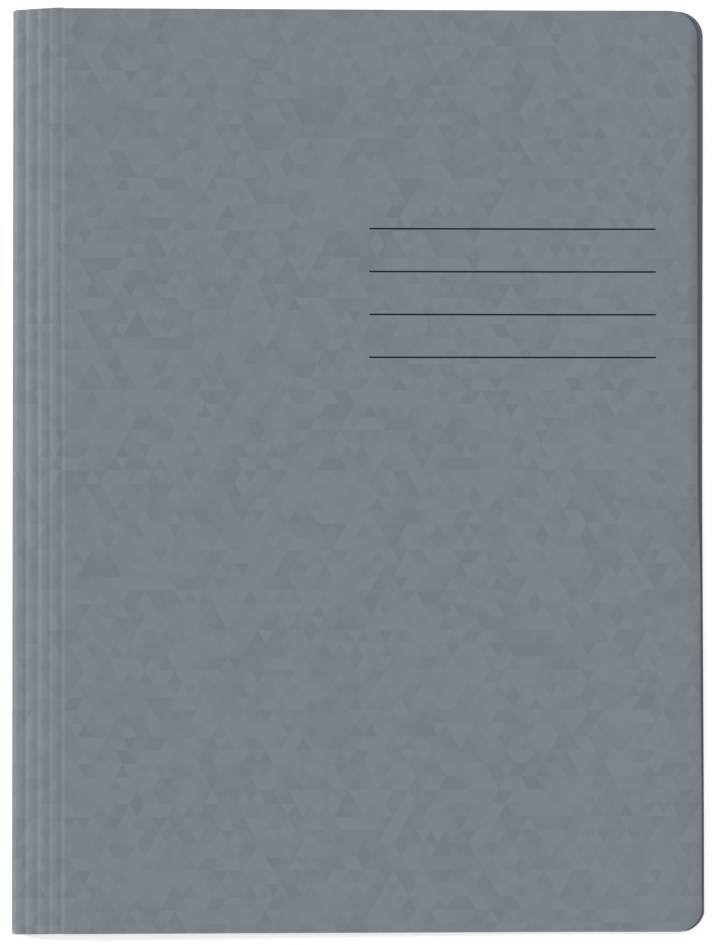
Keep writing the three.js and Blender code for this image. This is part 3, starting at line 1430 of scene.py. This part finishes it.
@dataclass
class FilingPleat(CardPiece):
    """The pleat's two layers, its fold, its slots and the lower part of the spine wall."""

    slot_reach: float = 0.525 * MM

    def build(self) -> bpy.types.Object:
        """Makes the piece, which rides on the pleat.

        Returns:
            The piece.
        """
        sheet = self.sheet
        cut = sheet.stretch(sheet.pleat_seam, sheet.wall_seam, windows=self._slots())
        piece = self.cut_out("filing_pleat_card", cut, sheet.warp)
        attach(piece, "pleat")
        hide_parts("pleat_lower_layer", "pleat_fold", "pleat_upper_layer")
        return piece

    def _slots(self) -> tuple[Window, ...]:
        """Places a slot in the upper layer at each tongue's root.

        Returns:
            The slots.
        """
        layout, bend = self.sheet.layout, self.sheet.wall_foot_fold
        from_wall = layout.joint("tongue_head_bend").x - layout.joint("cover_open").x
        wall_foot = self.sheet.line.place_of(Crease.WALL_FOOT)
        middle = wall_foot - (math.pi / 4) * bend - (from_wall - bend)
        return layout.tongue_slots(middle, self.slot_reach, self.slot_reach)


@dataclass
class Spine(CardPiece):
    """The left edge and the strips between the grooves, made at rest; in the folder, they turn as
    the cover opens.
    """

    line_step: float = 0.2 * MM

    def build(self) -> bpy.types.Object:
        """Makes the piece in its rest place.

        Returns:
            The piece.
        """
        sheet = self.sheet
        cut = sheet.stretch(sheet.wall_seam, sheet.cover_seam)
        piece = self.cut_out("spine_card", cut, sheet.warp,
                             line_step=self.line_step, edge_rows=sheet.edge_rows)
        edge = sheet.layout.joint("cover_open")
        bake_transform(piece)
        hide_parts("spine_strip_1", "spine_strip_2", "spine_strip_3", "spine_strip_4")
        return piece


@dataclass
class FrontCover(CardPiece):
    """The front cover, from the last strip over the last groove, with its ruled title lines."""

    corner_radius: float = 9.9 * MM
    edge_round: float = 0.12 * MM
    row_step: float = 2.5 * MM
    line_step: float = 4 * MM
    groove_reach: float = 2.1 * MM
    groove_step: float = 0.2 * MM
    fore_edge_reach: tuple[float, float] = (0.3 * MM, 5 * MM)
    fore_edge_step: float = 0.35 * MM
    rule_start: float = 4.26 * MM
    rule_end: float = 104.2 * MM
    first_rule: float = 83.62 * MM
    rule_spacing: float = 14.85 * MM
    rule_count: int = 4
    rule_weight: float = 0.56 * MM
    ink_thickness: float = 0.012 * MM
    ink_edge: float = 0.002 * MM

    def build(self) -> list[bpy.types.Object]:
        """Makes the cover in its rest place, and its ruled lines, which ride on the cover.

        Returns:
            The cover and the lines.
        """
        sheet = self.sheet
        cut = sheet.stretch(
            sheet.cover_seam, sheet.line.length, end_is_cut=True, end_corner=self.corner_radius,
            low_corner_slip=sheet.foot_corner_slip, marks=self._fine_places())
        piece = self.cut_out("front_cover_card", cut, sheet.warp, row_step=self.row_step,
                             line_step=self.line_step, edge_round=self.edge_round,
                             edge_rows=sheet.edge_rows)
        fold = sheet.layout.joint("last_groove_fold")
        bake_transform(piece)
        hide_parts("spine_strip_5", "front_cover")
        return [piece, *self._rules()]

    def _fine_places(self) -> tuple[float, ...]:
        """Chooses closer places for the last groove's hollow and the fore edge's curl.

        Returns:
            The places along the line.
        """
        line, reach, step = self.sheet.line, self.groove_reach, self.groove_step
        hollow = line.place_of(Crease.LAST_GROOVE) + np.arange(-reach, reach + step / 2, step)
        curl = line.length - np.arange(*self.fore_edge_reach, self.fore_edge_step)
        return (*hollow, *curl)

    def _rules(self) -> list[bpy.types.Object]:
        """Prints the ruled lines as thin ribbons of ink on the cover.

        Returns:
            The lines, from the head down.
        """
        rules = []
        ribbon = BentSheet(
            self.sheet.line, self.ink_thickness, self.sheet.warp, edge_round=self.ink_edge,
            lift=(self.sheet.thickness + self.ink_thickness) / 2,
        )
        start, end = (self._place_at(x) for x in (self.rule_start, self.rule_end))
        for number in range(self.rule_count):
            middle = self.first_rule - number * self.rule_spacing
            cut = Cut(start=start, end=end, low=middle - self.rule_weight / 2,
                      high=middle + self.rule_weight / 2, start_is_cut=True, end_is_cut=True)
            rule = ribbon.make(
                f"title_line_{number + 1}", cut, [self.finishes.ink] * len(Face))
            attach(rule, "cover")
            rules.append(rule)
        return rules

    def _place_at(self, across: float) -> float:
        """Gives the place on the line that lies at this distance from the folder's middle."""
        cover = self.sheet.line.runs[-1]
        return cover.start + (across - cover.across) / math.cos(cover.heading)


@dataclass
class Fastener:
    """The two-tongue fastener and its bar, bent from thin steel strip."""

    layout: FolderLayout
    finishes: Finishes
    strip_thickness: float = 0.33 * MM
    strip_clearance: float = 0.01 * MM
    strip_corner: float = 3 * MM
    stamped_edge: float = 0.05 * MM
    row_step: float = 1.5 * MM
    line_step: float = 3 * MM
    tongue_bend: float = 0.35 * MM
    tongue_flex: float = 0.25 * MM
    tip_flat: float = 0.05 * MM
    bar_thickness: float = 0.36 * MM
    bar_bend: float = 0.35 * MM
    bar_corner: float = 1 * MM
    bar_slot_inside: float = 4.45 * MM
    bar_slot_outside: float = 0.45 * MM
    bar_row_step: float = 3 * MM
    bar_line_step: float = 1 * MM

    def build(self) -> list[bpy.types.Object]:
        """Makes the strip, the two tongues and the bar."""
        return [self._strip(), self._tongue("tongue_head", 1), self._tongue("tongue_foot", -1),
                self._bar()]

    def _stamped(self, name: str, node: str, sheet: BentSheet, cut: Cut) -> bpy.types.Object:
        """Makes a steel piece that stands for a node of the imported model.

        Args:
            name: the piece's name.
            node: the node.
            sheet: the steel that it is made of.
            cut: how it is cut, which gets two cut ends here.

        Returns:
            The piece.
        """
        cut = replace(cut, start_is_cut=True, end_is_cut=True)
        piece = sheet.make(name, cut, [self.finishes.steel] * len(Face))
        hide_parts(node)
        return piece

    def _strip_steel(self, line: BentLine, middle: float) -> BentSheet:
        """Gives strip steel along Y, with fine steps and a stamped edge."""
        return BentSheet(
            line, self.strip_thickness, plane=Plane.LINE_OVER_Y, middle=middle,
            edge_round=self.stamped_edge, row_step=self.row_step, line_step=self.line_step)

    def _strip(self) -> bpy.types.Object:
        """Makes the strip between the pleat's layers.

        Returns:
            The strip.
        """
        low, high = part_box("fastener_base")
        up = low.z + self.strip_thickness / 2 + self.strip_clearance
        line = BentLine([Corner(low.y, up), Corner(high.y, up)])
        half = (high.x - low.x) / 2
        cut = Cut(0.0, line.length, -half, half,
                  start_corner=self.strip_corner, end_corner=self.strip_corner)
        steel = self._strip_steel(line, (low.x + high.x) / 2)
        piece = self._stamped("fastener_strip", "fastener_base", steel, cut)
        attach(piece, "pleat")
        return piece

    def _tongue(self, node: str, side: int) -> bpy.types.Object:
        """Makes a tongue with its root and the bend between them.

        Args:
            node: the tongue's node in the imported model, which is also its body.
            side: 1 for the tongue at the head, -1 for the one at the foot.

        Returns:
            The tongue.
        """
        low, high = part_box(node)
        bend = self.layout.joint(f"{node}_bend")
        tip = low.y if side > 0 else high.y
        root_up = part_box("fastener_base")[0].z + self.strip_thickness
        line = BentLine([
            Corner(bend.y, root_up),
            Corner(bend.y, bend.z, self.tongue_bend),
            Corner(tip, bend.z),
        ])
        half = (high.x - low.x) / 2
        cut = Cut(0.0, line.length, -half, half, end_corner=half - self.tip_flat)
        piece = self._stamped(f"{node}_strip", node, self._strip_steel(line, bend.x), cut)
        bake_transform(piece)
        return piece

    def _bar(self) -> bpy.types.Object:
        """Makes the bar: a channel with its long edges turned up and a slot for each tongue.

        Returns:
            The bar.
        """
        low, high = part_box("compressor_bar")
        inset = self.bar_thickness / 2
        floor = low.z + inset
        line = BentLine([
            Corner(low.x + inset, high.z),
            Corner(low.x + inset, floor, self.bar_bend),
            Corner(high.x - inset, floor, self.bar_bend),
            Corner(high.x - inset, high.z),
        ])
        slots = self.layout.tongue_slots(
            line.length / 2, self.bar_slot_inside, self.bar_slot_outside)
        cut = Cut(0.0, line.length, low.y, high.y, windows=slots,
                  start_corner=self.bar_corner, end_corner=self.bar_corner)
        steel = BentSheet(line, self.bar_thickness, edge_round=self.stamped_edge,
                          row_step=self.bar_row_step, line_step=self.bar_line_step)
        piece = self._stamped("compressor_bar_channel", "compressor_bar", steel, cut)
        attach(piece, "bar")
        return piece


# The studio


@dataclass
class Studio:
    """The floor, the lights and the camera, which looks straight down as the photograph does."""

    distance: float = 840 * MM
    apex: float = 6.94 * MM
    frame_width: float = 246.29 * MM
    sensor: float = 36.0
    pitch: float = 0.65
    aim: tuple[float, float] = (-0.37 * MM, -0.67 * MM)
    view_end: float = 10.0
    sky_share: float = 0.65
    key_share: float = 0.3
    key_height: float = 28.0
    key_bearing: float = 161.0
    key_spread: float = 9.0
    floor_reach: float = 3.0
    floor_clearance: float = 0.1 * MM

    def build(self) -> None:
        """Sets up the camera, the floor, the lights and the colour management."""
        self._camera()
        self._floor()
        self._lights()
        self._world()
        bpy.context.scene.view_settings.view_transform = "Standard"

    def _camera(self) -> None:
        """Places the camera over the folder, with the foot a trace nearer than the head."""
        data = bpy.data.cameras.new("camera")
        data.sensor_fit = "HORIZONTAL"
        data.sensor_width = self.sensor
        data.lens = self.sensor * self.distance / self.frame_width
        data.clip_end = self.view_end
        camera = bpy.data.objects.new("camera", data)
        tilt = math.radians(self.pitch)
        camera.location = (
            self.aim[0],
            self.aim[1] - self.distance * math.sin(tilt),
            self.apex + self.distance * math.cos(tilt),
        )
        camera.rotation_euler = (tilt, 0.0, 0.0)
        bpy.context.scene.collection.objects.link(camera)
        bpy.context.scene.camera = camera

    def _floor(self) -> None:
        """Lays the floor under the folder."""
        mesh = bpy.data.meshes.new("floor")
        reach = self.floor_reach
        mesh.from_pydata(
            [(-reach, -reach, 0), (reach, -reach, 0), (reach, reach, 0), (-reach, reach, 0)],
            [], [(0, 1, 2, 3)])
        mesh.materials.append(PaleFloor().material())
        floor = bpy.data.objects.new("floor", mesh)
        floor.location.z = -self.floor_clearance
        bpy.context.scene.collection.objects.link(floor)

    def _lights(self) -> None:
        """Hangs a large soft lamp far off at the left, so that it lights the sheet evenly."""
        data = bpy.data.lights.new("key_light", "SUN")
        height, bearing = math.radians(self.key_height), math.radians(self.key_bearing)
        data.energy = self.key_share * math.pi / math.sin(height)
        data.angle = math.radians(self.key_spread)
        light = bpy.data.objects.new("key_light", data)
        towards = Vector((
            math.cos(height) * math.cos(bearing),
            math.cos(height) * math.sin(bearing),
            math.sin(height),
        ))
        light.rotation_euler = (-towards).to_track_quat("-Z", "Y").to_euler()
        bpy.context.scene.collection.objects.link(light)

    def _world(self) -> None:
        """Lights the scene evenly, and shows the camera and mirrors plain white."""
        world = bpy.data.worlds.new("studio")
        bpy.context.scene.world = world
        world.use_nodes = True
        tree = world.node_tree
        strength = add_node(tree, "ShaderNodeMapRange", {
            "Value": seen_directly(tree), "To Min": self.sky_share, "To Max": 1.0})
        set_inputs(tree, tree.nodes["Background"], {
            "Color": linear_colour("#ffffff"), "Strength": strength.outputs[0]})


def main() -> None:
    """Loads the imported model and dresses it, piece by piece."""
    logging.basicConfig(level=logging.INFO, format="%(message)s")
    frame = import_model()
    Studio().build()
    layout = FolderLayout(frame)
    sheet = CardSheet(layout)
    finishes = Finishes()
    pieces = [BackCover(sheet, finishes).build(), FilingPleat(sheet, finishes).build(),
              Spine(sheet, finishes).build()]
    pieces += FrontCover(sheet, finishes).build()
    pieces += Fastener(layout, finishes).build()
    for piece in pieces:
        LOG.info("%s: %d faces", piece.name, len(piece.data.polygons))


if __name__ == "__main__":
    main()
